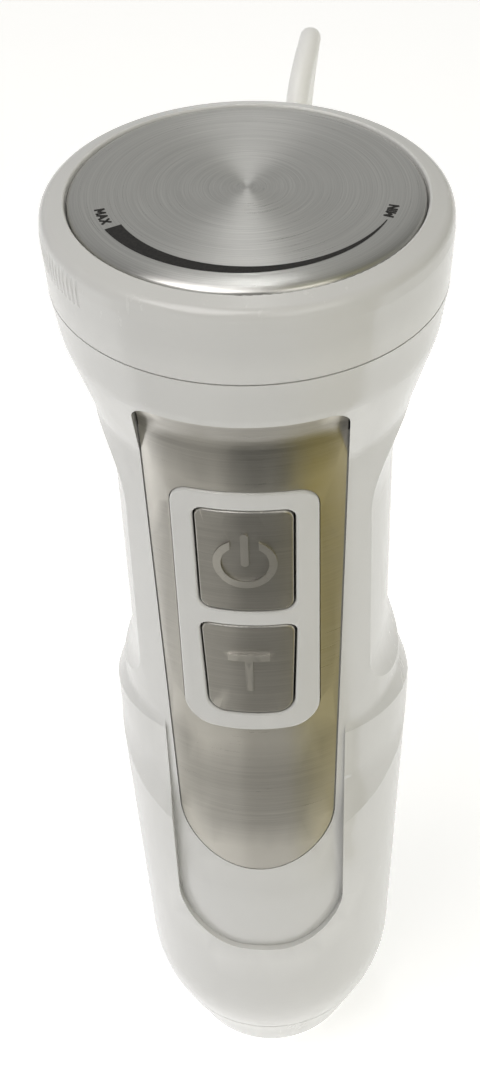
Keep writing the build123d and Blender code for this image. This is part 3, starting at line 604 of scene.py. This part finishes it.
# ------------------------------------------------------------------ plug and tie
def oval(middle, half_width, half_height, power, count=56):
    """Rounded oval in a plane across the cord."""
    points = []
    for k in range(count):
        a = 2 * math.pi * k / count
        c, s = math.cos(a), math.sin(a)
        points.append(middle + Vector((half_width * math.copysign(abs(c) ** (2 / power), c), 0,
                                       half_height * math.copysign(abs(s) ** (2 / power), s))))
    return points


def make_plug(material):
    """Moulded plug: ribbed sleeve, waisted grip and a flat face."""
    low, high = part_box("plug_body")
    middle = (low + high) / 2
    half_width, half_height = (high.x - low.x) / 2, (high.z - low.z) / 2
    length = high.y - low.y
    rings = []

    def ring(y, width, height, power):
        rings.append(oval(Vector((middle.x, low.y + y, middle.z)), width, height, power))

    sleeve = 12 * MM
    ring(0, 2.6 * MM, 2.6 * MM, 2)
    for rib in range(4):
        for y, radius in ((0.0, 3.0), (0.4, 3.35), (1.6, 3.4), (2.0, 3.05), (2.7, 2.9)):
            rib_radius = (radius + 0.12 * rib) * MM
            ring(0.2 * MM + rib * 2.9 * MM + y * MM, rib_radius, rib_radius, 2)
    steps = 18
    for k in range(1, steps + 1):
        share = k / steps
        ease = share * share * (3 - 2 * share)
        waist = 1.2 * MM * math.sin(math.pi * share)
        ring(sleeve + (length - sleeve - 1.2 * MM) * share, 3.5 * MM + (half_width - 3.6 * MM) * ease - waist,
             3.5 * MM + (half_height - 3.6 * MM) * ease, 2 + 1.2 * share)
    ring(length - 0.5 * MM, half_width - 0.3 * MM, half_height - 0.3 * MM, 3.2)
    ring(length - 0.05 * MM, half_width - 1.0 * MM, half_height - 1.0 * MM, 3.2)
    plug = add_mesh("plug_shell", *skin_rings(rings), "housing", "plug_plastic", material)
    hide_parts("plug_body")
    return plug


def make_tie(material):
    """Strap round both bundles."""
    low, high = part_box("hank_tie")
    middle = (low + high) / 2
    half_width, half_height = (high.x - low.x) / 2, (high.z - low.z) / 2
    strap = 0.9 * MM
    outline = oval(Vector((middle.x, 0, middle.z)), half_width - strap / 2, half_height - strap / 2, 4.5, 96)
    section = [(-1.0, -0.3), (-1.0, 0.3), (-0.94, 0.5), (0.94, 0.5), (1.0, 0.3), (1.0, -0.3), (0.94, -0.5),
               (-0.94, -0.5)]
    half_band = (high.y - low.y) / 2
    rings = []
    for point in outline:
        out = Vector((point.x - middle.x, 0, (point.z - middle.z) * 3)).normalized()
        rings.append([point + out * strap * lift + Vector((0, middle.y + half_band * across, 0))
                      for across, lift in section])
    verts, faces = skin_rings(rings + [rings[0]], closed_ends=False)
    tie = add_mesh("hank_strap", verts, faces, "housing", "tie_plastic", material)
    weld = bmesh.new()
    weld.from_mesh(tie.data)
    bmesh.ops.remove_doubles(weld, verts=weld.verts, dist=1e-6)
    weld.to_mesh(tie.data)
    weld.free()
    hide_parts("hank_tie")
    return tie


# ------------------------------------------------------------------ light and floor
ROOM_STRENGTH = 0.5
FLOOR_GLOW = 0.52


def make_area(name, place, target, size, power, colour=(1, 1, 1)):
    """Rectangular lamp at place that faces target."""
    data = bpy.data.lights.new(name, "AREA")
    data.shape = "RECTANGLE"
    data.size, data.size_y = size
    data.energy = power
    data.color = colour
    lamp = bpy.data.objects.new(name, data)
    lamp.location = place
    lamp.rotation_euler = (Vector(target) - Vector(place)).to_track_quat("-Z", "Y").to_euler()
    bpy.context.collection.objects.link(lamp)


def make_world():
    """Pale room: a darker band ahead of the handle and a warm olive wall to its right."""
    world = bpy.data.worlds.new("studio")
    bpy.context.scene.world = world
    world.use_nodes = True
    tree = world.node_tree
    background = tree.nodes["Background"]
    place = tree.nodes.new("ShaderNodeTexCoord").outputs["Generated"]
    split = tree.nodes.new("ShaderNodeSeparateXYZ")
    tree.links.new(place, split.inputs[0])
    angle = tree.nodes.new("ShaderNodeMath")
    angle.operation = "ARCTAN2"
    back = tree.nodes.new("ShaderNodeMath")
    back.operation = "MULTIPLY"
    back.inputs[1].default_value = -1.0
    tree.links.new(split.outputs["Y"], back.inputs[0])
    tree.links.new(split.outputs["X"], angle.inputs[0])
    tree.links.new(back.outputs[0], angle.inputs[1])
    share = tree.nodes.new("ShaderNodeMapRange")
    share.inputs["From Min"].default_value = -math.pi
    share.inputs["From Max"].default_value = math.pi
    tree.links.new(angle.outputs[0], share.inputs["Value"])
    ramp = tree.nodes.new("ShaderNodeValToRGB")
    tree.links.new(share.outputs[0], ramp.inputs["Fac"])
    # azimuth in degrees from straight ahead, and the colour seen there
    stops = [(-180, (0.85, 0.85, 0.83)), (-120, (0.65, 0.65, 0.64)), (-75, (0.48, 0.47, 0.46)),
             (-40, (0.5, 0.49, 0.48)), (-12, (0.16, 0.16, 0.155)), (24, (0.12, 0.12, 0.11)),
             (48, (0.5, 0.46, 0.2)), (80, (0.55, 0.52, 0.32)), (120, (0.42, 0.42, 0.4)),
             (180, (0.85, 0.85, 0.83))]
    ramp.color_ramp.interpolation = "EASE"
    while len(ramp.color_ramp.elements) < len(stops):
        ramp.color_ramp.elements.new(0.5)
    for element, (degrees, colour) in zip(ramp.color_ramp.elements, stops):
        element.position = (degrees + 180) / 360
        element.color = (*colour, 1)
    tree.links.new(ramp.outputs["Color"], background.inputs["Color"])
    background.inputs["Strength"].default_value = ROOM_STRENGTH


FLAG_STEP = 0.18   # distance on the floor where the near cards end and the far ones begin


def make_flag(name, start, end, colour, near=0.075, far=1.6):
    """Card on the floor ahead of the handle that only reflections see, from azimuth start to end."""
    steps = 12
    verts = []
    for k in range(steps + 1):
        angle = math.radians(start + (end - start) * k / steps)
        verts += [(r * math.sin(angle), -r * math.cos(angle), 0.001) for r in (near, far)]
    faces = [(2 * k, 2 * k + 1, 2 * k + 3, 2 * k + 2) for k in range(steps)]
    mesh = bpy.data.meshes.new(name)
    mesh.from_pydata(verts, [], faces)
    flag = bpy.data.objects.new(name, mesh)
    bpy.context.collection.objects.link(flag)
    r = Recipe(name)
    r.set(Base_Color=rgba((0, 0, 0)), Roughness=1.0, Emission_Color=rgba(colour), Emission_Strength=1.0)
    r.set(Specular_IOR_Level=0.0)
    mesh.materials.append(r.material)
    flag.visible_camera = False
    flag.visible_diffuse = False
    flag.visible_shadow = False


def make_studio():
    """Room, lamps, reflection cards and a white floor."""
    make_world()
    make_area("key", (-0.3, -0.3, 1.15), (0, 0, 0.12), (0.7, 0.7), 5.0, (1.0, 0.98, 0.97))
    make_area("fill", (0.5, -0.6, 0.9), (0, 0, 0.1), (0.6, 0.6), 1.6, (1.0, 0.98, 0.96))
    make_area("streak", (-0.035, 0.52, 1.11), (0, 0, 0.2), (0.04, 0.25), 0.45)
    # cards by azimuth in degrees, with the colour of the near one and of the far one
    for name, start, end, near_colour, far_colour in (
            ("left", -70, -34, (0.55, 0.535, 0.49), (0.33, 0.32, 0.295)),
            ("left_mid", -34, -13, (0.46, 0.445, 0.405), (0.32, 0.31, 0.28)),
            ("dark", -13, 26, (0.31, 0.295, 0.255), (0.085, 0.085, 0.078)),
            ("edge", 26, 38, (0.24, 0.22, 0.13), (0.17, 0.145, 0.06)),
            ("olive", 38, 75, (0.32, 0.28, 0.14), (0.24, 0.19, 0.03))):
        make_flag("flag_" + name + "_near", start, end, near_colour, far=FLAG_STEP)
        make_flag("flag_" + name + "_far", start, end, far_colour, near=FLAG_STEP)
    mesh = bpy.data.meshes.new("floor")
    mesh.from_pydata([(-3, -3, 0), (3, -3, 0), (3, 3, 0), (-3, 3, 0)], [], [(0, 1, 2, 3)])
    floor = bpy.data.objects.new("floor", mesh)
    floor.location.z = -0.0005
    bpy.context.collection.objects.link(floor)
    r = Recipe("floor_paint")
    cloud = r.noise(4, 3)
    r.set(Base_Color=r.blend(cloud, rgba((0.93, 0.93, 0.93)), rgba((0.96, 0.96, 0.96))), Roughness=0.8)
    r.set(Emission_Color=(1, 1, 1, 1), Emission_Strength=FLOOR_GLOW)
    mesh.materials.append(r.material)
    bpy.context.scene.view_settings.view_transform = "Standard"


# ------------------------------------------------------------------ scene
make_camera()
materials = make_materials()
cord = make_cord()
paint(cord, materials["cord_jacket"])
for part in frame["record"]["subparts"]:
    paint(nodes[part["node"]], materials[part["material_slot"]])
ink = printed_ink("scale_ink")
make_disc(materials["spun_steel"])
make_scale(ink)
make_legend("legend_max", "MAX", -66.8, LEGEND_FOOT, ink)
make_legend("legend_min", "MIN", 75.5, LEGEND_FOOT, ink)
plug = make_plug(materials["plug_plastic"])
tie = make_tie(materials["tie_plastic"])
make_studio()
bpy.context.view_layer.update()
